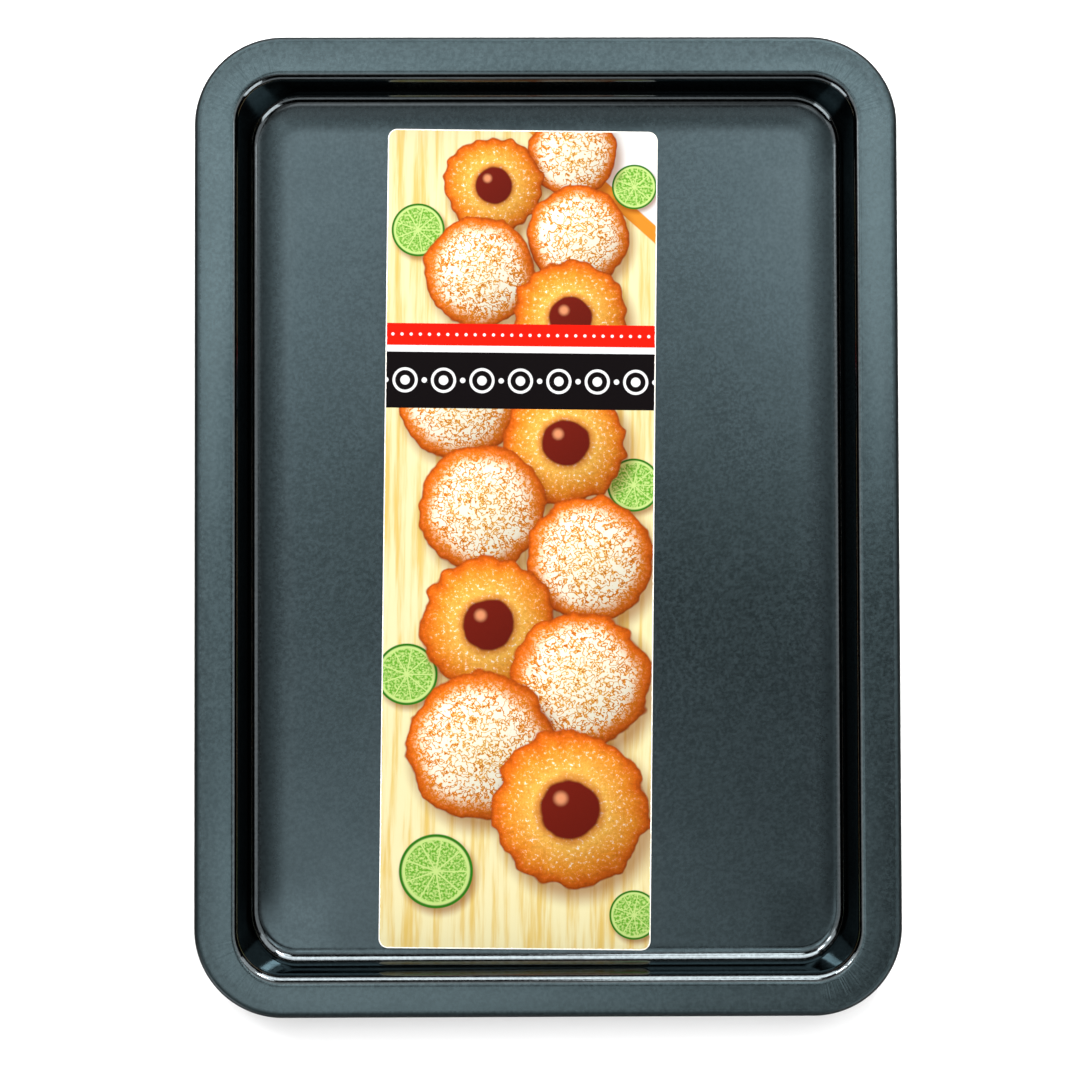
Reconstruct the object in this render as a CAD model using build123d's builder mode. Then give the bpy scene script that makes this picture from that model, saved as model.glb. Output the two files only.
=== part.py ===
from build123d import *
from math import cos, radians, sin, sqrt, tan
import os

# Cookie sheet: a pressed steel tray whose wide flat rim is rolled round a wire at its edge,
# with the printed card that lies on its floor, held by glue spots.
# Millimetres. The origin is under the middle of the tray, on the surface that it stands on.
# +Y runs along the tray, +X across it and +Z up, out of its hollow.

# The pressed sheet. The rim's width is measured to where the planes of rim and wall would meet,
# and the wall's corners have one radius from top to foot, so they aren't cones.
tray_length = 466
tray_width = 335
tray_height = 20
sheet_thickness = 0.6
outline_corner_radius = 42
rim_width = 20
rim_bend_radius = 4
wall_draft = 18
wall_corner_radius = 20.5
foot_fillet_radius = 6.5

# The wire in the rolled edge, and how far the sheet turns round it, in degrees. The wire is out of
# sight there, so its section is drawn with flats.
wire_diameter = 3.5
wire_flats = 12
wire_clearance = 0.1
wire_end_gap = 1.5
roll_turn = 295

# The card, which lies a little askew, left of the middle, and has slid down to the wall's foot.
card_width = 130
card_thickness = 0.4
card_corner_radius = 4.5
card_left_offset = 13.5
card_head_margin = 11
card_foot_clearance = 0.6
card_turn = 0.75

# The glue spots under the card.
glue_diameter = 10
glue_thickness = 0.35
glue_edge_margin = 16
glue_columns = 2
glue_rows = 3

# How far a cutting form runs past what it cuts.
overrun = 5

os.makedirs("parts", exist_ok=True)

# The rolled edge: its size follows the wire, and its middle line runs round at one height, inside
# the tray's outline.
roll_radius = wire_diameter / 2 + wire_clearance + sheet_thickness
roll_height = tray_height - roll_radius
route_length = tray_length - 2 * roll_radius
route_width = tray_width - 2 * roll_radius
route_right = route_width / 2
route_back = route_length / 2
route_corner_radius = outline_corner_radius - roll_radius
route_corners = [
    (route_right, route_back),
    (-route_right, route_back),
    (-route_right, -route_back),
    (route_right, -route_back),
]


def wall_inset(height):
    # How far in from the outline the wall's upper face is, at a height.
    return rim_width + (tray_height - height) * tan(radians(wall_draft))


def press_form(shift, cover):
    # The form of one face of the sheet, which lies outside the upper face by the shift: the hollow
    # with its drafted walls and rounded corners, its foot, and the bend out to a slab over the rim.
    rim_plane = tray_height - shift
    floor_plane = sheet_thickness - shift
    inset = wall_inset(rim_plane) - shift / cos(radians(wall_draft))
    with BuildPart() as form:
        with BuildSketch(Plane.XY.offset(rim_plane)):
            Rectangle(tray_width - 2 * inset, tray_length - 2 * inset)
        extrude(amount=floor_plane - rim_plane)
        draft(form.faces().filter_by(Axis.Z, reverse=True), Plane.XY.offset(rim_plane), -wall_draft)
        corner_edges = form.edges().filter_by(Axis.X, reverse=True).filter_by(Axis.Y, reverse=True)
        fillet(corner_edges, wall_corner_radius + shift)
        fillet(form.faces().sort_by(Axis.Z)[0].edges(), foot_fillet_radius + shift)
        with BuildSketch(Plane.XY.offset(rim_plane)):
            RectangleRounded(route_width + cover, route_length + cover, route_corner_radius)
        extrude(amount=sheet_thickness + cover)
        rim_face = form.faces().filter_by(Axis.Z).sort_by(Axis.Z)[1]
        fillet(rim_face.inner_wires()[0].edges(), rim_bend_radius - shift)
    return form.part


under_form = press_form(shift=sheet_thickness, cover=0)
over_form = press_form(shift=0, cover=overrun)

# The tray: the sheet between the two forms, and its edge, rolled down and under round the wire.
with BuildPart() as tray_sheet:
    add(under_form)
    add(over_form, mode=Mode.SUBTRACT)
    with BuildLine(Plane.XY.offset(roll_height)):
        FilletPolyline((route_right, 0), *route_corners, radius=[0] + [route_corner_radius] * 4, close=True)
    with BuildSketch(Plane((route_right, 0, roll_height), x_dir=(1, 0, 0), z_dir=(0, -1, 0))):
        with BuildLine():
            outer_turn = CenterArc((0, 0), roll_radius, 90, -roll_turn)
            inner_turn = CenterArc((0, 0), roll_radius - sheet_thickness, 90, -roll_turn)
            Line(outer_turn @ 0, inner_turn @ 0)
            Line(outer_turn @ 1, inner_turn @ 1)
        make_face()
    sweep()
tray_sheet.part.label = "tray_sheet"
export_step(tray_sheet.part, "parts/tray_sheet.step")

# The wire: one loop, its two ends butted at the middle of the right side.
with BuildPart() as rim_wire:
    with BuildLine(Plane.XY.offset(roll_height)):
        wire_start = (route_right, wire_end_gap / 2)
        wire_end = (route_right, -wire_end_gap / 2)
        wire_line = FilletPolyline(wire_start, *route_corners, wire_end, radius=route_corner_radius)
    with BuildSketch(Plane(wire_line @ 0, z_dir=wire_line % 0)):
        RegularPolygon(wire_diameter / 2, wire_flats)
    sweep()
rim_wire.part.label = "rim_wire"
export_step(rim_wire.part, "parts/rim_wire.step")

# The flat floor ends where the fillet at the wall's foot starts. The card lies raised by its glue,
# so its lowest corner reaches a little past that end before the fillet would lift it.
fillet_run = foot_fillet_radius * tan(radians(90 - wall_draft) / 2)
floor_end = tray_length / 2 - wall_inset(sheet_thickness) - fillet_run
fillet_reach = sqrt(2 * foot_fillet_radius * glue_thickness - glue_thickness**2)
corner_drop = card_width / 2 * sin(radians(card_turn))
card_head = floor_end - card_head_margin
card_foot = -floor_end - fillet_reach + card_foot_clearance + corner_drop
card_length = card_head - card_foot
card_centre = (-card_left_offset, (card_head + card_foot) / 2)
card_across = Vector(1, 0, 0).rotate(Axis.Z, -card_turn)
card_underside = sheet_thickness + glue_thickness

# The card, cut with rounded corners.
with BuildPart() as printed_card:
    with BuildSketch(Plane((*card_centre, card_underside), x_dir=card_across)):
        RectangleRounded(card_width, card_length, card_corner_radius)
    extrude(amount=card_thickness)
printed_card.part.label = "printed_card"
export_step(printed_card.part, "parts/printed_card.step")

# The glue spots, pressed out between card and floor, in rows along the card's two long edges.
with BuildPart() as glue_spots:
    across_pitch = (card_width - 2 * glue_edge_margin) / (glue_columns - 1)
    along_pitch = (card_length - 2 * glue_edge_margin) / (glue_rows - 1)
    with BuildSketch(Plane((*card_centre, sheet_thickness), x_dir=card_across)):
        with GridLocations(across_pitch, along_pitch, glue_columns, glue_rows):
            Circle(glue_diameter / 2)
    extrude(amount=glue_thickness)
glue_spots.part.label = "glue_spots"
export_step(glue_spots.part, "parts/glue_spots.step")
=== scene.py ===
import math

import bmesh
import bpy
from mathutils import Matrix, Vector


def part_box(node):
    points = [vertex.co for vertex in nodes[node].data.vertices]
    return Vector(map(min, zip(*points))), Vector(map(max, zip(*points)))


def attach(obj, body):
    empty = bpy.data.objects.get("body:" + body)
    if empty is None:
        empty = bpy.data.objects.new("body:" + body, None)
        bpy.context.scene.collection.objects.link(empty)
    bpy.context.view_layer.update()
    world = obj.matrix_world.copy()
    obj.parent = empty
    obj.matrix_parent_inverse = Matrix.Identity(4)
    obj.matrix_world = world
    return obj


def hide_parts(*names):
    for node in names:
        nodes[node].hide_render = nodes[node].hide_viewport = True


# A pressed steel baking tray with a printed card lying in it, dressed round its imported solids.

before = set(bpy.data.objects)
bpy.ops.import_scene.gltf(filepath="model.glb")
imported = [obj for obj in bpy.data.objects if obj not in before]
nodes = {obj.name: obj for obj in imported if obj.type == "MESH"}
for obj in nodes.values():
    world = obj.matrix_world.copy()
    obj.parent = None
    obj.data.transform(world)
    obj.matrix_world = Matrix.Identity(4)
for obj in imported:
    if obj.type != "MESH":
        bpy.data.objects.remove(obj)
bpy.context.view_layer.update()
print("frame loaded:", sorted(nodes))


# Colours are picked as 0 to 255 screen values and worked in linear light.
def screenColour(red, green, blue):
    shares = [value / 255 for value in (red, green, blue)]
    return tuple(s / 12.92 if s <= 0.04045 else ((s + 0.055) / 1.055) ** 2.4 for s in shares) + (1.0,)


# Small helpers for node trees: a socket takes a link or a plain value.
def feed(tree, socket, value):
    if isinstance(value, bpy.types.NodeSocket):
        tree.links.new(value, socket)
    else:
        socket.default_value = value


def addNode(tree, kind, inputs=None, **settings):
    made = tree.nodes.new(kind)
    for name, value in settings.items():
        setattr(made, name, value)
    for key, value in (inputs or {}).items():
        feed(tree, made.inputs[key], value)
    return made


def calc(tree, operation, *values):
    return addNode(tree, "ShaderNodeMath", dict(enumerate(values)), operation=operation).outputs[0]


def vectorCalc(tree, operation, *values):
    made = addNode(tree, "ShaderNodeVectorMath", dict(enumerate(values)), operation=operation)
    return made.outputs["Value" if operation in ("LENGTH", "DOT_PRODUCT") else "Vector"]


# 0 below low, 1 above high and smooth between; low may be the larger of the two.
def fade(tree, value, low, high):
    span = {"Value": value, "From Min": low, "From Max": high}
    return addNode(tree, "ShaderNodeMapRange", span, interpolation_type="SMOOTHSTEP").outputs["Result"]


def blendColour(tree, share, under, over, how="MIX"):
    made = addNode(tree, "ShaderNodeMix", data_type="RGBA", blend_type=how)
    feed(tree, made.inputs[0], share)
    feed(tree, made.inputs[6], under)
    feed(tree, made.inputs[7], over)
    return made.outputs[2]


def splitPlace(tree, place):
    return addNode(tree, "ShaderNodeSeparateXYZ", {"Vector": place}).outputs


# 1 between the spans over which value rises and falls, each given low to high, and 0 outside them.
def between(tree, value, rise, fall):
    return calc(tree, "MULTIPLY", fade(tree, value, *rise), fade(tree, value, *reversed(fall)))


def grey(tree, value):
    channels = dict.fromkeys(("Red", "Green", "Blue"), value)
    return addNode(tree, "ShaderNodeCombineColor", channels).outputs["Color"]


def noise(tree, place, scale, detail=2.0, roughness=0.5):
    settings = {"Vector": place, "Scale": scale, "Detail": detail, "Roughness": roughness}
    return addNode(tree, "ShaderNodeTexNoise", settings).outputs["Fac"]


def newGroup(name, takes, gives):
    tree = bpy.data.node_groups.new(name, "ShaderNodeTree")
    for label, kind, value in takes:
        socket = tree.interface.new_socket(label, in_out="INPUT", socket_type=kind)
        if value is not None:
            socket.default_value = value
    for label, kind in gives:
        tree.interface.new_socket(label, in_out="OUTPUT", socket_type=kind)
    return tree, tree.nodes.new("NodeGroupInput"), tree.nodes.new("NodeGroupOutput")


def useGroup(tree, group, inputs):
    return addNode(tree, "ShaderNodeGroup", inputs, node_tree=group)


def newMaterial(name):
    material = bpy.data.materials.new(name)
    material.use_nodes = True
    tree = material.node_tree
    tree.nodes.clear()
    shader = tree.nodes.new("ShaderNodeBsdfPrincipled")
    output = tree.nodes.new("ShaderNodeOutputMaterial")
    tree.links.new(shader.outputs["BSDF"], output.inputs["Surface"])
    return material, tree, shader


def dress(name, material):
    nodes[name].data.materials.clear()
    nodes[name].data.materials.append(material)


# The camera looks down on the tray from its middle, a little from the front. The focal length is in
# pixels of the 1080 pixel frame.
cameraSetup = {
    "eye": (-0.0196, -0.0586, 1.5),
    "target": (-0.0033, -0.0068, 0.0),
    "rollDegrees": -0.17,
    "focalPixels": 3121.5,
    "framePixels": 1080,
    "sensorWidth": 36.0,
    "clipStart": 0.05,
    "clipEnd": 40.0,
}


def makeCamera(setup):
    data = bpy.data.cameras.new("photoCamera")
    data.sensor_width = setup["sensorWidth"]
    data.lens = setup["focalPixels"] / setup["framePixels"] * setup["sensorWidth"]
    data.clip_start = setup["clipStart"]
    data.clip_end = setup["clipEnd"]
    camera = bpy.data.objects.new("photoCamera", data)
    bpy.context.scene.collection.objects.link(camera)
    ahead = (Vector(setup["target"]) - Vector(setup["eye"])).normalized()
    right = ahead.cross(Vector((0, 1, 0))).normalized()
    up = right.cross(ahead)
    roll = math.radians(setup["rollDegrees"])
    rolledRight = right * math.cos(roll) + up * math.sin(roll)
    rolledUp = up * math.cos(roll) - right * math.sin(roll)
    turn = Matrix((rolledRight, rolledUp, -ahead)).transposed()
    camera.matrix_world = Matrix.Translation(setup["eye"]) @ turn.to_4x4()
    bpy.context.scene.camera = camera


makeCamera(cameraSetup)
print("camera placed")


# Grain for coats and boards: fine specks and a wider cloudiness.
grainNoise = {
    "speck": {"detail": 3.0, "roughness": 0.6},
    "cloud": {"detail": 2.0, "roughness": 0.5},
}


def makeGrainGroup(look):
    tree, takes, gives = newGroup(
        "fineGrain",
        [
            ("Vector", "NodeSocketVector", None),
            ("Speck Size", "NodeSocketFloat", 0.001),
            ("Cloud Size", "NodeSocketFloat", 0.03),
        ],
        [("Speck", "NodeSocketFloat"), ("Cloud", "NodeSocketFloat")],
    )
    speckScale = calc(tree, "DIVIDE", 1.0, takes.outputs["Speck Size"])
    cloudScale = calc(tree, "DIVIDE", 1.0, takes.outputs["Cloud Size"])
    feed(tree, gives.inputs["Speck"], noise(tree, takes.outputs["Vector"], speckScale, **look["speck"]))
    feed(tree, gives.inputs["Cloud"], noise(tree, takes.outputs["Vector"], cloudScale, **look["cloud"]))
    return tree


# How far in from a rounded outline a point lies, how much it is round a corner, and at what angle there. The
# corner's mask is full once a point is this share of the radius into the corner.
cornerOnset = 0.2


def makeOutlineGroup():
    tree, takes, gives = newGroup(
        "fromOutline",
        [
            ("Vector", "NodeSocketVector", None),
            ("Half Width", "NodeSocketFloat", 0.1675),
            ("Half Length", "NodeSocketFloat", 0.233),
            ("Corner Radius", "NodeSocketFloat", 0.042),
        ],
        [("Inset", "NodeSocketFloat"), ("Corner", "NodeSocketFloat"), ("Angle", "NodeSocketFloat")],
    )
    radius = takes.outputs["Corner Radius"]
    apart = splitPlace(tree, takes.outputs["Vector"])
    beyond = []
    for axis, half in (("X", "Half Width"), ("Y", "Half Length")):
        side = calc(tree, "SUBTRACT", calc(tree, "ABSOLUTE", apart[axis]), takes.outputs[half])
        beyond.append(calc(tree, "ADD", side, radius))
    outX, outY = [calc(tree, "MAXIMUM", value, 0.0) for value in beyond]
    reach = calc(tree, "SQRT", calc(tree, "MULTIPLY_ADD", outX, outX, calc(tree, "MULTIPLY", outY, outY)))
    within = calc(tree, "MINIMUM", calc(tree, "MAXIMUM", *beyond), 0.0)
    feed(tree, gives.inputs["Inset"], calc(tree, "SUBTRACT", radius, calc(tree, "ADD", reach, within)))
    bothOut = calc(tree, "MINIMUM", outX, outY)
    feed(tree, gives.inputs["Corner"], fade(tree, calc(tree, "DIVIDE", bothOut, radius), 0.0, cornerOnset))
    feed(tree, gives.inputs["Angle"], calc(tree, "ARCTAN2", outY, outX))
    return tree


grainGroup = makeGrainGroup(grainNoise)
outlineGroup = makeOutlineGroup()

# The tray's coat: dark and smooth, with fine metal flake in it and drawn into faint wrinkles round the rim's
# corners. Light and shade are painted into its colour: the flat of the rim is painted a little paler as
# painted light, the formed parts are tinted so that their highlights come out neutral, and the band along the
# foot, the wall and the rolled edge are painted darker as painted shade. Lengths are in metres. Places and
# heights are spans over which a mask grows. "darker" and "rougher" say by how much, under each mask.
coat = {
    "colour": screenColour(70, 83, 87),
    # Painted light: the flat of the rim is painted paler, as if it were lit more than the floor.
    "litRimColour": screenColour(77, 92, 96),
    # Painted highlight colour: the formed parts, where the highlights lie, are tinted so that their
    # highlights come out neutral.
    "highlightTint": (1.17, 0.95, 0.91, 1.0),
    "grazingTint": (0.4, 0.4, 0.4, 1.0),
    "metallic": 1.0,
    "roughness": 0.22,
    "roughnessSwing": 0.05,
    "speckSize": 0.0016,
    "cloudSize": 0.03,
    "grainFade": (0.3, 0.7),
    "speckSwing": 0.30,
    "cloudSwing": 0.07,
    "bump": 0.000006,
    "outline": {"Half Width": 0.1675, "Half Length": 0.233, "Corner Radius": 0.042},
    "rimHeight": (0.0190, 0.0198),
    # Painted shade: a band of floor along the back and side feet, where the walls shade it, is darkened and
    # made rougher.
    "footShadeInset": (0.031, 0.0445),
    "footShadeHeight": (0.0010, 0.0016),
    "footShadePlaces": {"back": (0.11, 0.19), "left": (-0.07, -0.12), "right": (0.07, 0.12)},
    "footShadeShares": {"back": 1.0, "left": 1.0, "right": 0.8},
    "footShadeFront": (-0.20, -0.17),
    # Painted shade: the steep of the wall is painted darker, standing in for the dark floor that it reflects.
    "steepHeight": ((0.0040, 0.0065), (0.0150, 0.0180)),
    "formedHeight": ((0.0009, 0.0016), (0.0196, 0.0199)),
    "cornerAcross": (0.095, 0.115),
    "cornerForward": (-0.165, -0.185),
    # Painted shade: the outer rolled edge is painted darker, where it curves down away from the light, and
    # made rougher.
    "rollInset": (0.0016, 0.0036),
    "darker": {"footShade": 0.68, "steep": 0.20, "rolled": 0.70},
    "rougher": {"rolled": 0.25, "formed": -0.11, "corner": -0.10, "footShade": 0.10},
    "wrinkles": 26.0,
    "wrinkleDetail": 1.0,
    "wrinkleInset": ((0.0045, 0.009), (0.016, 0.020)),
    "wrinkleDepth": 0.00010,
}


# A share that swings by plus or minus half of swing about 1 as mask goes from 0 to 1.
def swingAbout(tree, mask, swing):
    return calc(tree, "MULTIPLY_ADD", mask, swing, 1.0 - swing / 2)


# Where the tray's forms lie: the flat of the rim, the band along the foot that is painted darker as painted
# shade where the walls shade the floor, the steep of the wall, all that is formed, the floor's two front
# corners and the rolled edge.
def coatMasks(tree, look, place, inset):
    apart = splitPlace(tree, place)
    footShade = 0.0
    for side, axis in (("back", "Y"), ("left", "X"), ("right", "X")):
        near = fade(tree, apart[axis], *look["footShadePlaces"][side])
        footShade = calc(tree, "MAXIMUM", footShade, calc(tree, "MULTIPLY", near, look["footShadeShares"][side]))
    low = fade(tree, apart["Z"], *reversed(look["footShadeHeight"]))
    footShade = calc(tree, "MULTIPLY", footShade, calc(tree, "MULTIPLY", low, fade(tree, apart["Y"], *look["footShadeFront"])))
    aside = fade(tree, calc(tree, "ABSOLUTE", apart["X"]), *look["cornerAcross"])
    corner = calc(tree, "MULTIPLY", aside, fade(tree, apart["Y"], *look["cornerForward"]))
    lowest, highest = look["formedHeight"]
    return {
        "rim": fade(tree, apart["Z"], *look["rimHeight"]),
        "footShade": calc(tree, "MULTIPLY", footShade, fade(tree, inset, *reversed(look["footShadeInset"]))),
        "steep": between(tree, apart["Z"], *look["steepHeight"]),
        "formed": between(tree, apart["Z"], lowest, highest),
        "corner": calc(tree, "MULTIPLY", corner, fade(tree, apart["Z"], *reversed(lowest))),
        "rolled": fade(tree, inset, *reversed(look["rollInset"])),
    }


def makeCoat(look):
    material, tree, shader = newMaterial("coatedSteel")
    place = addNode(tree, "ShaderNodeTexCoord").outputs["Object"]
    sizes = {"Vector": place, "Speck Size": look["speckSize"], "Cloud Size": look["cloudSize"]}
    grain = useGroup(tree, grainGroup, sizes).outputs
    edge = useGroup(tree, outlineGroup, {"Vector": place} | look["outline"]).outputs
    masks = coatMasks(tree, look, place, edge["Inset"])

    # Painted light: the rim's flat gets the paler colour.
    colour = blendColour(tree, masks["rim"], look["colour"], look["litRimColour"])
    # Painted highlight colour: the formed parts are tinted neutral where the highlights lie.
    colour = blendColour(tree, masks["formed"], colour, look["highlightTint"], "MULTIPLY")
    speck = fade(tree, grain["Speck"], *look["grainFade"])
    cloud = fade(tree, grain["Cloud"], *look["grainFade"])
    speckShare = swingAbout(tree, speck, look["speckSwing"])
    share = calc(tree, "MULTIPLY", speckShare, swingAbout(tree, cloud, look["cloudSwing"]))
    # Painted shade: the colour is darkened under the foot band, the steep of the wall and the rolled edge.
    for name, amount in look["darker"].items():
        share = calc(tree, "MULTIPLY", share, calc(tree, "MULTIPLY_ADD", masks[name], -amount, 1.0))
    feed(tree, shader.inputs["Base Color"], blendColour(tree, 1.0, colour, grey(tree, share), "MULTIPLY"))
    shader.inputs["Metallic"].default_value = look["metallic"]
    shader.inputs["Specular Tint"].default_value = look["grazingTint"]

    swing = look["roughnessSwing"]
    even = calc(tree, "MULTIPLY_ADD", speck, swing, look["roughness"] - swing / 2)
    for name, amount in look["rougher"].items():
        even = calc(tree, "MULTIPLY_ADD", masks[name], amount, even)
    feed(tree, shader.inputs["Roughness"], even)

    # Wrinkles run outwards round each corner of the rim.
    around = addNode(tree, "ShaderNodeCombineXYZ", {"X": edge["Angle"]}).outputs["Vector"]
    folds = noise(tree, around, look["wrinkles"], look["wrinkleDetail"])
    band = between(tree, edge["Inset"], *look["wrinkleInset"])
    folds = calc(tree, "MULTIPLY", folds, calc(tree, "MULTIPLY", band, edge["Corner"]))
    wrinkled = addNode(tree, "ShaderNodeBump", {"Height": folds, "Distance": look["wrinkleDepth"]})
    flake = {"Height": grain["Speck"], "Distance": look["bump"], "Normal": wrinkled.outputs["Normal"]}
    feed(tree, shader.inputs["Normal"], addNode(tree, "ShaderNodeBump", flake).outputs["Normal"])
    return material


coatMaterial = makeCoat(coat)
dress("tray_sheet", coatMaterial)
print("coat done")

# The pressed sheet, in metres. It has its solid's sizes, but is drawn finer, and each side has its own rim,
# bend, draft and foot. The foot's corners are rounder than the top of the wall's, and the floor already rises
# a little before each foot, to this rise and slope.
pressedSheet = {
    "thickness": 0.0006,
    "outlineRadius": 0.042,
    "cornerSteps": 28,
    "sideSteps": {"short": 14, "long": 20},
    "rollRadius": 0.00245,
    "rollTurn": 295.0,
    "rollSteps": 24,
    "bendSteps": 14,
    "wallCornerRadius": 0.0205,
    "footRounding": 0.0045,
    "footSteps": 18,
    "softRun": 0.0125,
    "softSteps": 14,
    "softRounding": 0.5,
    "sides": {
        "left": {
            "rim": 0.0200, "bend": 0.0040, "draft": 18.0, "foot": 0.0065, "rise": 0.00042, "slope": 0.072,
        },
        "right": {
            "rim": 0.0200, "bend": 0.0040, "draft": 18.0, "foot": 0.0065, "rise": 0.00022, "slope": 0.030,
        },
        "back": {
            "rim": 0.0201, "bend": 0.0055, "draft": 18.0, "foot": 0.0080, "rise": 0.00055, "slope": 0.0,
        },
        "front": {
            "rim": 0.0197, "bend": 0.0070, "draft": 14.5, "foot": 0.0090, "rise": 0.00005, "slope": 0.0,
        },
    },
}


# Points on an arc in section, from its start through its turn, in degrees.
def arc(across, up, radius, start, turn, steps):
    angles = [math.radians(start + turn * step / steps) for step in range(steps + 1)]
    return [(across + radius * math.cos(angle), up + radius * math.sin(angle)) for angle in angles]


# The upper face of one side in section, from the end of the roll to the floor: how far in from the outline
# each ring lies, how high, and how round its corners are.
def sheetRings(look, side, height):
    draft, turn = side["draft"], 90.0 - side["draft"]
    slant = math.cos(math.radians(draft))
    reach = math.tan(math.radians(turn) / 2)
    roll, bend, foot, floor = look["rollRadius"], side["bend"], side["foot"], look["thickness"]
    bendStart = side["rim"] - bend * reach
    wallTop = bendStart + bend * slant
    floorEnd = side["rim"] + (height - floor) * math.tan(math.radians(draft)) + foot * reach
    footTop = floorEnd - foot * slant
    footCorner = look["wallCornerRadius"] + look["footRounding"]
    rings = []
    rollTurn = look["rollTurn"]
    for inset, up in arc(roll, height - roll, roll, 90.0 + rollTurn, -rollTurn, look["rollSteps"]):
        rings.append((inset, up, look["outlineRadius"] - inset))
    for inset, up in arc(bendStart, height - bend, bend, 90.0, -turn, look["bendSteps"]):
        rings.append((inset, up, look["wallCornerRadius"] + wallTop - inset))
    for inset, up in arc(floorEnd, floor + foot, foot, 180.0 + draft, turn, look["footSteps"]):
        lift = softLift(side, (floorEnd - inset) / (floorEnd - footTop), floorEnd - footTop, False)
        rings.append((inset, up + lift, footCorner + footTop - inset))
    cornerRadius = footCorner + footTop - floorEnd
    for step in range(1, look["softSteps"] + 1):
        share = step / look["softSteps"]
        lift = softLift(side, 1.0 - share, look["softRun"], True)
        softRadius = cornerRadius * (1.0 - look["softRounding"] * share)
        rings.append((floorEnd + look["softRun"] * share, floor + lift, softRadius))
    return rings


# How much the sheet is lifted near the floor's end, where its side gives the rise and the slope. On the floor
# it grows out of nothing as share goes from 0 to 1, and up the foot it dies away again.
def softLift(side, share, width, onFloor):
    if onFloor:
        grown = share**3 * (10 - 15 * share + 6 * share**2)
        return side["rise"] * grown + side["slope"] * width * (share**4 - share**3)
    left = 2 * share**3 - 3 * share**2 + 1
    return side["rise"] * left + side["slope"] * width * (share**3 - 2 * share**2 + share)


# The stations round the tray: which corner each belongs to, its direction out of that corner's centre, and
# how far along to the next corner it lies.
def roundStations(look):
    stations = []
    for quarter, (alongX, alongY) in enumerate([(1, 1), (-1, 1), (-1, -1), (1, -1)]):
        for step in range(look["cornerSteps"] + 1):
            angle = math.pi / 2 * (quarter + step / look["cornerSteps"])
            stations.append(((alongX, alongY), (math.cos(angle), math.sin(angle)), 0.0))
        sides = look["sideSteps"]["short" if quarter % 2 == 0 else "long"]
        for step in range(1, sides):
            stations.append(((alongX, alongY), (math.cos(angle), math.sin(angle)), step / sides))
    return stations


def makePressedSheet(look, material):
    low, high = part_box("tray_sheet")
    sections = {name: sheetRings(look, side, high.z) for name, side in look["sides"].items()}
    stations = roundStations(look)
    shape = bmesh.new()
    loop = bmesh.ops.create_circle(shape, segments=len(stations), radius=1.0)["verts"]
    edges = list(shape.edges)
    for count, rings in enumerate(zip(*sections.values())):
        if count:
            grown = bmesh.ops.extrude_edge_only(shape, edges=edges)["geom"]
            edges = [part for part in grown if isinstance(part, bmesh.types.BMEdge) and part.is_boundary]
            older = loop
            loop = [next(e.other_vert(v) for e in v.link_edges if e.other_vert(v) in grown) for v in older]
        for vert, ((sideX, sideY), (outX, outY), along) in zip(loop, stations):
            share = {
                "left": min(outX, 0.0) ** 2,
                "right": max(outX, 0.0) ** 2,
                "back": max(outY, 0.0) ** 2,
                "front": min(outY, 0.0) ** 2,
            }
            shares = [share[name] for name in sections]
            inset, up, radius = [sum(s * value for s, value in zip(shares, values)) for values in zip(*rings)]
            reachX, reachY = high.x - inset - radius, high.y - inset - radius
            x, y = sideX * reachX + outX * radius, sideY * reachY + outY * radius
            if abs(outY) > abs(outX):
                x -= 2 * along * sideX * reachX
            else:
                y -= 2 * along * sideY * reachY
            vert.co = (x, y, up)
    bmesh.ops.contextual_create(shape, geom=edges)
    bmesh.ops.recalc_face_normals(shape, faces=shape.faces)
    shape.faces.ensure_lookup_table()
    if shape.faces[-1].normal.z < 0:
        bmesh.ops.reverse_faces(shape, faces=shape.faces)
    for face in shape.faces:
        face.smooth = True
    mesh = bpy.data.meshes.new("pressedSheet")
    shape.to_mesh(mesh)
    shape.free()
    mesh.materials.append(material)
    piece = bpy.data.objects.new("pressedSheet", mesh)
    bpy.context.scene.collection.objects.link(piece)
    wall = piece.modifiers.new("sheet", "SOLIDIFY")
    wall.thickness = look["thickness"]
    wall.offset = -1.0
    wall.use_even_offset = True
    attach(piece, "tray")
    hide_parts("tray_sheet")
    return piece


makePressedSheet(pressedSheet, coatMaterial)
print("sheet pressed")

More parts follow.
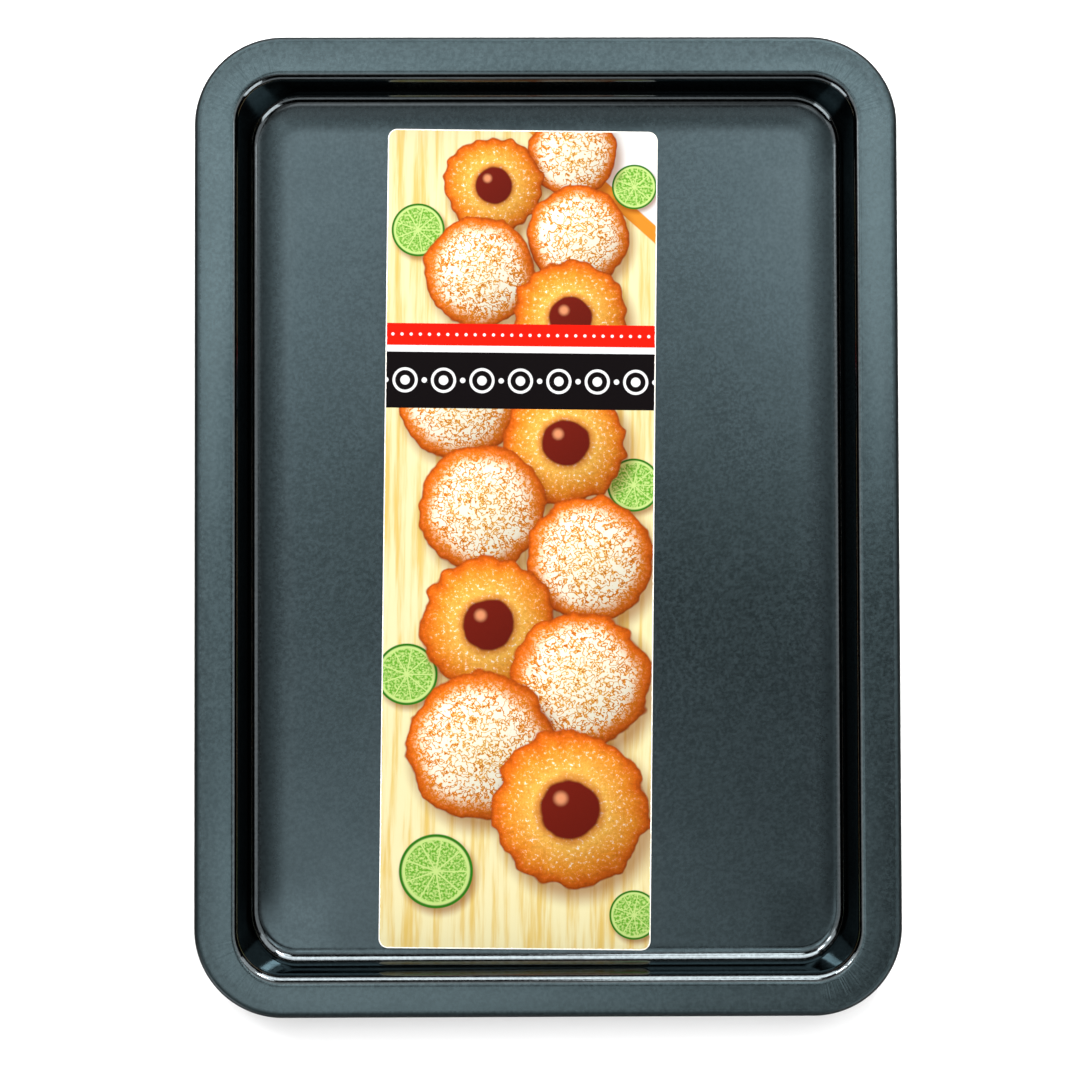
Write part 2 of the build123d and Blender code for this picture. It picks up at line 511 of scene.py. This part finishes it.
# The card's print, in millimetres on the card from its middle: x across it, y towards its head. The bands are
# measured down from the head. A biscuit is x, y, radius and how much jam it has, and a slice of lime is x, y
# and radius. The ones that lie behind come first. A row of ornaments is how far apart, shifted and down they
# are, the radius of their line and half its width. Inside a motif lengths are in its radii, and a fade is the
# span over which something starts or ends.
cardPrint = {
    "width": 130.0,
    "cornerRadius": 4.5,
    "turnDegrees": -0.75,
    "whiteLevel": (0.46, 0.46, 0.46, 1.0),
    "varnishRoughness": 0.42,
    "varnishSpecular": 0.05,
    "printDepth": 0.02,
    "rubbedEdge": 0.9,
    "bare": (screenColour(206, 200, 188), screenColour(250, 249, 246)),
    "bareFade": (0.3, 0.8),
    "bareGrain": {"Speck Size": 0.0004, "Cloud Size": 0.02},
    "bareRoughness": 0.85,
    "bump": {"Distance": 0.0002, "Strength": 0.3},
    "noises": {
        "Crumb": {"scale": 0.55, "detail": 4.0, "roughness": 0.7},
        "Wobble": {"scale": 0.07, "detail": 2.0, "roughness": 0.5},
        "Fibre": {"scale": 0.9, "detail": 1.0, "roughness": 0.5},
    },
    "cracks": {"scale": 0.13, "stirScale": 0.25, "stirDetail": 2.0, "stir": (30.0, 30.0, 0.0)},
    "board": {
        "pale": screenColour(253, 242, 190),
        "grain": screenColour(240, 206, 116),
        "slantDegrees": -9.0,
        "stretch": (0.22, 0.012, 1.0),
        "noise": {"scale": 1.0, "detail": 4.0, "roughness": 0.62},
        "fade": (0.42, 0.68),
        "edge": screenColour(236, 150, 44),
        "edgeFade": (-7.0, -6.4),
        "cloth": screenColour(250, 249, 246),
        "clothFade": (-0.4, 0.4),
        "clothCorner": (12.0, 197.0, 0.0),
        "clothTurnDegrees": 41.0,
    },
    "bands": [
        (93.8, 104.4, screenColour(255, 26, 4)),
        (104.4, 107.6, screenColour(255, 255, 255)),
        (107.6, 134.7, screenColour(10, 4, 6)),
    ],
    "ornaments": {
        "colour": screenColour(255, 255, 255),
        "soft": 0.1,
        "rows": [
            (18.5, 0.0, 121.2, 5.4, 0.65),
            (18.5, 0.0, 121.2, 0.0, 2.3),
            (18.5, 9.25, 121.2, 0.0, 1.3),
            (4.4, 0.0, 99.1, 0.0, 0.75),
        ],
    },
    "motif": {
        "rimFade": (1.0, 0.97),
        "shadow": screenColour(150, 84, 24),
        "shadowShift": (0.09, -0.13, 0.0),
        "shadowFade": (1.16, 0.86),
        "shadowDepth": 0.7,
    },
    "lime": {
        "places": [
            (-50, 148, 13), (54, 170, 11), (55, 26, 13), (-53, -66, 15), (-38, -160, 18), (57, -180, 12),
        ],
        "segments": 9.0,
        "fleshFade": (0.05, 0.12),
        "fibreFade": (0.35, 0.7),
        "pulpFade": (0.84, 0.80),
        "rindFade": (0.88, 0.93),
        "rind": screenColour(48, 124, 24),
        "pith": screenColour(208, 234, 140),
        "pulp": screenColour(106, 178, 44),
    },
    "biscuit": {
        "places": [
            (24, 186, 22, 0), (-14, 170, 24, 1), (27, 146, 25, 0), (-20, 128, 27, 0), (24, 106, 28, 1),
            (-30, 66, 29, 0), (22, 46, 30, 1), (-18, 14, 31, 0), (34, -10, 31, 0), (-14, -42, 33, 1),
            (30, -68, 34, 0), (-18, -100, 36, 0), (26, -130, 38, 1),
        ],
        "flutes": 18.0,
        "fluteDepth": 0.018,
        "wobble": (0.3, 0.85),
        "dough": [
            (0.0, screenColour(254, 214, 112)),
            (0.45, screenColour(251, 190, 82)),
            (0.76, screenColour(240, 146, 38)),
            (0.92, screenColour(214, 98, 14)),
            (1.0, screenColour(142, 50, 6)),
        ],
        "crumb": (1.3, 0.35),
        "sugar": screenColour(255, 249, 226),
        "sugarFade": (0.97, 0.62),
        "plateFade": (0.07, 0.16),
        "patch": 0.3,
        "patchFade": (0.5, 0.72),
        "dustFade": (0.56, 0.66),
        "crack": screenColour(188, 78, 10),
        "crackFade": (0.07, 0.0),
        "hollowFade": (0.50, 0.38),
        "hollowDepth": 0.6,
        "jam": screenColour(112, 24, 10),
        "jamFade": (0.40, 0.35),
        "glint": screenColour(232, 150, 104),
        "glintAt": (-0.12, 0.14, 0.0),
        "glintFade": (0.12, 0.03),
        "light": (-0.25, 0.3, 0.0),
    },
}


# Where a point lies on a round motif: in its radii from its middle, with the distance and the angle, and the
# colour under the motif with its shadow on it.
def onMotif(tree, take, look):
    away = vectorCalc(tree, "SUBTRACT", take["Point"], take["Centre"])
    scaled = {"Vector": away, "Scale": calc(tree, "DIVIDE", 1.0, take["Radius"])}
    place = addNode(tree, "ShaderNodeVectorMath", scaled, operation="SCALE").outputs[0]
    apart = splitPlace(tree, place)
    angle = calc(tree, "ARCTAN2", apart["Y"], apart["X"])
    aside = vectorCalc(tree, "LENGTH", vectorCalc(tree, "SUBTRACT", place, look["shadowShift"]))
    shade = calc(tree, "MULTIPLY", fade(tree, aside, *look["shadowFade"]), look["shadowDepth"])
    under = blendColour(tree, shade, take["Under"], look["shadow"], "MULTIPLY")
    return place, vectorCalc(tree, "LENGTH", place), angle, under


def makeBiscuitGroup(look, motif):
    tree, takes, gives = newGroup(
        "printedBiscuit",
        [
            ("Point", "NodeSocketVector", None),
            ("Centre", "NodeSocketVector", None),
            ("Radius", "NodeSocketFloat", 30.0),
            ("Jam", "NodeSocketFloat", 0.0),
            ("Wobble", "NodeSocketFloat", 0.5),
            ("Crumb", "NodeSocketFloat", 0.5),
            ("Crackle", "NodeSocketFloat", 0.5),
            ("Under", "NodeSocketColor", None),
        ],
        [("Color", "NodeSocketColor")],
    )
    take = takes.outputs
    place, distance, angle, under = onMotif(tree, take, motif)
    wave = calc(tree, "COSINE", calc(tree, "MULTIPLY", angle, look["flutes"]))
    wave = calc(tree, "MULTIPLY", wave, look["fluteDepth"])
    plain = calc(tree, "MULTIPLY", distance, calc(tree, "MULTIPLY_ADD", take["Wobble"], *look["wobble"]))
    reach = calc(tree, "MULTIPLY_ADD", wave, take["Jam"], plain)
    noJam = calc(tree, "SUBTRACT", 1.0, take["Jam"])

    # The dough, from its pale middle to its browned rim, with a crumb.
    ramp = tree.nodes.new("ShaderNodeValToRGB")
    stops = ramp.color_ramp.elements
    for stop, (position, tone) in zip([stops[0], stops[1]], [look["dough"][0], look["dough"][-1]]):
        stop.position, stop.color = position, tone
    for position, tone in look["dough"][1:-1]:
        stops.new(position).color = tone
    feed(tree, ramp.inputs["Fac"], reach)
    crumb = grey(tree, calc(tree, "MULTIPLY_ADD", take["Crumb"], *look["crumb"]))
    body = blendColour(tree, 1.0, ramp.outputs["Color"], crumb, "MULTIPLY")

    # Sugar: in cracked plates on the plain biscuits, as dust on the others.
    inside = fade(tree, reach, *look["sugarFade"])
    insidePlain = calc(tree, "MULTIPLY", inside, noJam)
    plates = calc(tree, "MULTIPLY", fade(tree, take["Crackle"], *look["plateFade"]), insidePlain)
    patchy = fade(tree, calc(tree, "MULTIPLY_ADD", inside, look["patch"], take["Crumb"]), *look["patchFade"])
    platesLeft = calc(tree, "MULTIPLY", plates, patchy)
    insideJam = calc(tree, "MULTIPLY", inside, take["Jam"])
    dust = calc(tree, "MULTIPLY", fade(tree, take["Crumb"], *look["dustFade"]), insideJam)
    gaps = calc(tree, "MULTIPLY", fade(tree, take["Crackle"], *look["crackFade"]), insidePlain)
    body = blendColour(tree, gaps, body, look["crack"])
    body = blendColour(tree, calc(tree, "MAXIMUM", platesLeft, dust), body, look["sugar"])

    # Jam in a hollow, with a glint on it.
    hollow = calc(tree, "MULTIPLY", fade(tree, plain, *look["hollowFade"]), take["Jam"])
    pool = calc(tree, "MULTIPLY", fade(tree, plain, *look["jamFade"]), take["Jam"])
    body = blendColour(tree, calc(tree, "MULTIPLY", hollow, look["hollowDepth"]), body, look["crack"])
    body = blendColour(tree, pool, body, look["jam"])
    aside = vectorCalc(tree, "LENGTH", vectorCalc(tree, "SUBTRACT", place, look["glintAt"]))
    glint = calc(tree, "MULTIPLY", fade(tree, aside, *look["glintFade"]), take["Jam"])
    body = blendColour(tree, glint, body, look["glint"])

    # It is drawn as lit from the upper left.
    lit = calc(tree, "ADD", vectorCalc(tree, "DOT_PRODUCT", place, look["light"]), 1.0)
    body = blendColour(tree, 1.0, body, grey(tree, lit), "MULTIPLY")
    feed(tree, gives.inputs["Color"], blendColour(tree, fade(tree, reach, *motif["rimFade"]), under, body))
    return tree


def makeLimeGroup(look, motif):
    tree, takes, gives = newGroup(
        "printedLime",
        [
            ("Point", "NodeSocketVector", None),
            ("Centre", "NodeSocketVector", None),
            ("Radius", "NodeSocketFloat", 14.0),
            ("Fibre", "NodeSocketFloat", 0.5),
            ("Under", "NodeSocketColor", None),
        ],
        [("Color", "NodeSocketColor")],
    )
    take = takes.outputs
    place, distance, angle, under = onMotif(tree, take, motif)
    spoke = calc(tree, "ABSOLUTE", calc(tree, "SINE", calc(tree, "MULTIPLY", angle, look["segments"] / 2)))
    fleshy = fade(tree, calc(tree, "MULTIPLY", spoke, distance), *look["fleshFade"])
    fleshy = calc(tree, "MULTIPLY", fade(tree, distance, *look["pulpFade"]), fleshy)
    pulp = blendColour(tree, fade(tree, take["Fibre"], *look["fibreFade"]), look["pulp"], look["pith"])
    cut = blendColour(tree, fleshy, look["pith"], pulp)
    cut = blendColour(tree, fade(tree, distance, *look["rindFade"]), cut, look["rind"])
    feed(tree, gives.inputs["Color"], blendColour(tree, fade(tree, distance, *motif["rimFade"]), under, cut))
    return tree


# Wood grain along one slant, the board's edge across a corner, and a cloth past it.
def paintBoard(tree, flat, look):
    slant = {
        "Vector": flat,
        "Rotation": (0.0, 0.0, math.radians(look["slantDegrees"])),
        "Scale": look["stretch"],
    }
    grain = noise(tree, addNode(tree, "ShaderNodeMapping", slant).outputs["Vector"], **look["noise"])
    colour = blendColour(tree, fade(tree, grain, *look["fade"]), look["pale"], look["grain"])
    turned = {
        "Vector": flat,
        "Location": look["clothCorner"],
        "Rotation": (0.0, 0.0, math.radians(-look["clothTurnDegrees"])),
    }
    onCloth = addNode(tree, "ShaderNodeMapping", turned, vector_type="TEXTURE").outputs["Vector"]
    past = splitPlace(tree, onCloth)["Y"]
    colour = blendColour(tree, fade(tree, past, *look["edgeFade"]), colour, look["edge"])
    return blendColour(tree, fade(tree, past, *look["clothFade"]), colour, look["cloth"])


# Limes under biscuits. Their groups take the noises that vary over the card.
def paintMotifs(tree, flat, noises, colour, look):
    shared = {"Point": flat, "Fibre": noises["Fibre"]}
    limeGroup = makeLimeGroup(look["lime"], look["motif"])
    for x, y, radius in look["lime"]["places"]:
        own = {"Centre": (x, y, 0.0), "Radius": radius, "Under": colour}
        colour = useGroup(tree, limeGroup, shared | own).outputs["Color"]
    stir = {"Vector": flat, "Scale": look["cracks"]["stirScale"], "Detail": look["cracks"]["stirDetail"]}
    drift = addNode(tree, "ShaderNodeTexNoise", stir).outputs["Color"]
    stirred = vectorCalc(tree, "MULTIPLY_ADD", drift, look["cracks"]["stir"], flat)
    cells = {"Vector": stirred, "Scale": look["cracks"]["scale"]}
    cracks = addNode(tree, "ShaderNodeTexVoronoi", cells, voronoi_dimensions="2D", feature="DISTANCE_TO_EDGE")
    shared = {
        "Point": flat,
        "Wobble": noises["Wobble"],
        "Crumb": noises["Crumb"],
        "Crackle": cracks.outputs["Distance"],
    }
    biscuitGroup = makeBiscuitGroup(look["biscuit"], look["motif"])
    for x, y, radius, jam in look["biscuit"]["places"]:
        own = {"Centre": (x, y, 0.0), "Radius": radius, "Jam": jam, "Under": colour}
        colour = useGroup(tree, biscuitGroup, shared | own).outputs["Color"]
    return colour


# The bands across the card, with rows of rings and dots on them.
def paintBands(tree, across, down, colour, look):
    for start, end, tone in look["bands"]:
        within = calc(tree, "LESS_THAN", down, end)
        within = calc(tree, "MULTIPLY", calc(tree, "GREATER_THAN", down, start), within)
        colour = blendColour(tree, within, colour, tone)
    ornaments = look["ornaments"]
    for pitch, shift, middleDown, radius, half in ornaments["rows"]:
        count = calc(tree, "MULTIPLY_ADD", across, 1 / pitch, shift / pitch)
        aside = calc(tree, "MULTIPLY", calc(tree, "SUBTRACT", count, calc(tree, "ROUND", count)), pitch)
        below = calc(tree, "SUBTRACT", down, middleDown)
        spot = addNode(tree, "ShaderNodeCombineXYZ", {"X": aside, "Y": below}).outputs["Vector"]
        off = calc(tree, "ABSOLUTE", calc(tree, "SUBTRACT", vectorCalc(tree, "LENGTH", spot), radius))
        inked = fade(tree, off, half + ornaments["soft"], half - ornaments["soft"])
        colour = blendColour(tree, inked, colour, ornaments["colour"])
    return colour


def makeCard(look):
    low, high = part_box("printed_card")
    middle = (low + high) / 2
    turn = math.radians(look["turnDegrees"])
    millimetre = 0.001
    length = ((high - low).y / millimetre - look["width"] * math.sin(abs(turn))) / math.cos(turn)
    material, tree, shader = newMaterial("printedCard")
    place = addNode(tree, "ShaderNodeTexCoord").outputs["Object"]
    placed = {
        "Vector": place,
        "Location": (middle.x, middle.y, 0.0),
        "Rotation": (0.0, 0.0, turn),
        "Scale": (millimetre, millimetre, millimetre),
    }
    mapped = addNode(tree, "ShaderNodeMapping", placed, vector_type="TEXTURE").outputs["Vector"]
    onCard = splitPlace(tree, mapped)
    flat = addNode(tree, "ShaderNodeCombineXYZ", {"X": onCard["X"], "Y": onCard["Y"]}).outputs["Vector"]
    noises = {name: noise(tree, flat, **settings) for name, settings in look["noises"].items()}

    colour = paintBoard(tree, flat, look["board"])
    colour = paintMotifs(tree, flat, noises, colour, look)
    down = calc(tree, "SUBTRACT", length / 2, onCard["Y"])
    colour = paintBands(tree, onCard["X"], down, colour, look)
    colour = blendColour(tree, 1.0, colour, look["whiteLevel"], "MULTIPLY")

    # The print lies on the upper face and is rubbed off along the cut edge. The rest is bare board.
    outline = {
        "Vector": flat,
        "Half Width": look["width"] / 2,
        "Half Length": length / 2,
        "Corner Radius": look["cornerRadius"],
    }
    inset = useGroup(tree, outlineGroup, outline).outputs["Inset"]
    printedFrom = high.z - look["printDepth"] * millimetre
    onTop = calc(tree, "GREATER_THAN", splitPlace(tree, place)["Z"], printedFrom)
    rubbed = calc(tree, "MULTIPLY", noises["Crumb"], look["rubbedEdge"])
    printed = calc(tree, "MULTIPLY", onTop, calc(tree, "GREATER_THAN", inset, rubbed))
    grain = useGroup(tree, grainGroup, {"Vector": place} | look["bareGrain"]).outputs
    bare = blendColour(tree, fade(tree, grain["Speck"], *look["bareFade"]), *look["bare"])
    feed(tree, shader.inputs["Base Color"], blendColour(tree, printed, bare, colour))
    shader.inputs["Specular IOR Level"].default_value = look["varnishSpecular"]
    drop = look["varnishRoughness"] - look["bareRoughness"]
    feed(tree, shader.inputs["Roughness"], calc(tree, "MULTIPLY_ADD", printed, drop, look["bareRoughness"]))
    bump = addNode(tree, "ShaderNodeBump", {"Height": grain["Cloud"]} | look["bump"])
    feed(tree, shader.inputs["Normal"], bump.outputs["Normal"])
    return material


dress("printed_card", makeCard(cardPrint))
print("card printed")

# The wire in the rolled edge: bright drawn steel, with fine scratches along it.
wire = {
    "dark": screenColour(150, 152, 154),
    "light": screenColour(206, 208, 210),
    "roughness": 0.32,
    "roughnessSwing": 0.2,
    "grain": {"Speck Size": 0.0006, "Cloud Size": 0.01},
    "bump": 0.00002,
}


def makeWire(look):
    material, tree, shader = newMaterial("bareWire")
    place = addNode(tree, "ShaderNodeTexCoord").outputs["Object"]
    grain = useGroup(tree, grainGroup, {"Vector": place} | look["grain"]).outputs
    feed(tree, shader.inputs["Base Color"], blendColour(tree, grain["Speck"], look["dark"], look["light"]))
    swing = look["roughnessSwing"]
    uneven = calc(tree, "MULTIPLY_ADD", grain["Cloud"], swing, look["roughness"] - swing / 2)
    feed(tree, shader.inputs["Roughness"], uneven)
    shader.inputs["Metallic"].default_value = 1.0
    bump = addNode(tree, "ShaderNodeBump", {"Height": grain["Speck"], "Distance": look["bump"]})
    feed(tree, shader.inputs["Normal"], bump.outputs["Normal"])
    return material


dress("rim_wire", makeWire(wire))

# The glue under the card: pressed flat, milky and a little tacky.
glue = {
    "clear": screenColour(226, 220, 200),
    "milky": screenColour(244, 241, 230),
    "roughness": 0.38,
    "roughnessSwing": 0.2,
    "grain": {"Speck Size": 0.0018, "Cloud Size": 0.006},
    "scatter": 0.4,
    "scatterRadius": (0.002, 0.0018, 0.0014),
    "bump": 0.00008,
}


def makeGlue(look):
    material, tree, shader = newMaterial("glue")
    place = addNode(tree, "ShaderNodeTexCoord").outputs["Object"]
    grain = useGroup(tree, grainGroup, {"Vector": place} | look["grain"]).outputs
    feed(tree, shader.inputs["Base Color"], blendColour(tree, grain["Cloud"], look["clear"], look["milky"]))
    swing = look["roughnessSwing"]
    uneven = calc(tree, "MULTIPLY_ADD", grain["Speck"], swing, look["roughness"] - swing / 2)
    feed(tree, shader.inputs["Roughness"], uneven)
    shader.inputs["Subsurface Weight"].default_value = look["scatter"]
    shader.inputs["Subsurface Radius"].default_value = look["scatterRadius"]
    bump = addNode(tree, "ShaderNodeBump", {"Height": grain["Speck"], "Distance": look["bump"]})
    feed(tree, shader.inputs["Normal"], bump.outputs["Normal"])
    return material


dress("glue_spots", makeGlue(glue))
print("wire and glue done")

# A plain pale floor under the tray and a soft studio round it. Each light faces the tray's middle, and the
# sky is black, so that the coat reflects nothing but the lights.
studio = {
    "floorSize": 12.0,
    "floorColour": (0.95, 0.95, 0.95, 1.0),
    "floorRoughness": 0.9,
    "floorGap": 0.0002,
    "sky": (0.0, 0.0, 0.0, 1.0),
    "lights": {
        "backLow": {"at": (0.0, 1.7, 1.06), "size": (1.8, 0.5), "power": 28.0},
        "backMidRight": {"at": (0.28, 1.36, 1.44), "size": (0.40, 0.28), "power": 4.0},
        "backMidCorner": {"at": (0.586, 1.28, 1.12), "size": (0.34, 0.26), "power": 20.0},
        "backMidLeft": {"at": (-0.787, 1.164, 1.12), "size": (0.32, 0.24), "power": 14.0},
        "backMidFarLeft": {"at": (-1.12, 0.82, 1.44), "size": (0.20, 0.40), "power": 5.0},
        "backRightTall": {"at": (1.22, 1.03, 1.20), "size": (1.0, 1.3), "power": 12.0},
        "backLeftTall": {"at": (-1.22, 1.03, 1.20), "size": (1.1, 1.3), "power": 13.0},
        "rightFront": {"at": (1.2, -1.2, 1.06), "size": (1.1, 1.1), "power": 24.0},
        "backLower": {"at": (0.0, 1.88, 0.68), "size": (1.8, 0.4), "power": 14.0},
        "leftFront": {"at": (-1.37, -1.37, 0.48), "size": (1.1, 1.1), "power": 22.31},
        "frontLow": {"at": (0.0, -2.0, 0.73), "size": (2.2, 0.7), "power": 6.0},
        "left": {"at": (-1.23, 0.0, 1.58), "size": (1.1, 1.1), "power": 5.18},
        "backHigh": {"at": (0.0, 0.62, 1.9), "size": (1.1, 1.1), "power": 3.6},
        "right": {"at": (1.23, 0.0, 1.58), "size": (1.1, 1.1), "power": 5.08},
        "leftFrontHigh": {"at": (-0.44, -0.44, 1.9), "size": (1.1, 1.1), "power": 2.13},
        "frontHigh": {"at": (0.0, -0.62, 1.9), "size": (1.1, 1.1), "power": 1.53},
        "backRightHigh": {"at": (0.5, 0.42, 1.9), "size": (0.45, 0.45), "power": 1.23},
        "backLeftHigh": {"at": (-0.46, 0.42, 1.9), "size": (0.5, 0.5), "power": 1.14},
        "backHighSmall": {"at": (0.0, 0.66, 1.88), "size": (0.6, 0.45), "power": 0.55},
        "frontSmall": {"at": (-0.2, -0.46, 1.93), "size": (0.5, 0.4), "power": 0.48},
    },
}


def makeFloor(setup):
    shape = bmesh.new()
    bmesh.ops.create_grid(shape, x_segments=1, y_segments=1, size=setup["floorSize"] / 2)
    bmesh.ops.translate(shape, verts=shape.verts, vec=(0, 0, -setup["floorGap"]))
    mesh = bpy.data.meshes.new("studioFloor")
    shape.to_mesh(mesh)
    shape.free()
    floor = bpy.data.objects.new("studioFloor", mesh)
    bpy.context.scene.collection.objects.link(floor)
    material, tree, shader = newMaterial("studioFloor")
    shader.inputs["Base Color"].default_value = setup["floorColour"]
    shader.inputs["Roughness"].default_value = setup["floorRoughness"]
    shader.inputs["Specular IOR Level"].default_value = 0.0
    mesh.materials.append(material)


def makeLights(setup):
    for name, light in setup["lights"].items():
        data = bpy.data.lights.new(name, "AREA")
        data.shape = "RECTANGLE"
        data.size, data.size_y = light["size"]
        data.energy = light["power"]
        lamp = bpy.data.objects.new(name, data)
        bpy.context.scene.collection.objects.link(lamp)
        lamp.location = light["at"]
        lamp.rotation_euler = (-Vector(light["at"])).to_track_quat("-Z", "Y").to_euler()
        lamp.visible_camera = False
    world = bpy.data.worlds.new("studioSky")
    world.use_nodes = True
    world.node_tree.nodes["Background"].inputs["Color"].default_value = setup["sky"]
    bpy.context.scene.world = world
    bpy.context.scene.view_settings.view_transform = "Standard"


makeFloor(studio)
makeLights(studio)
print("studio lit")
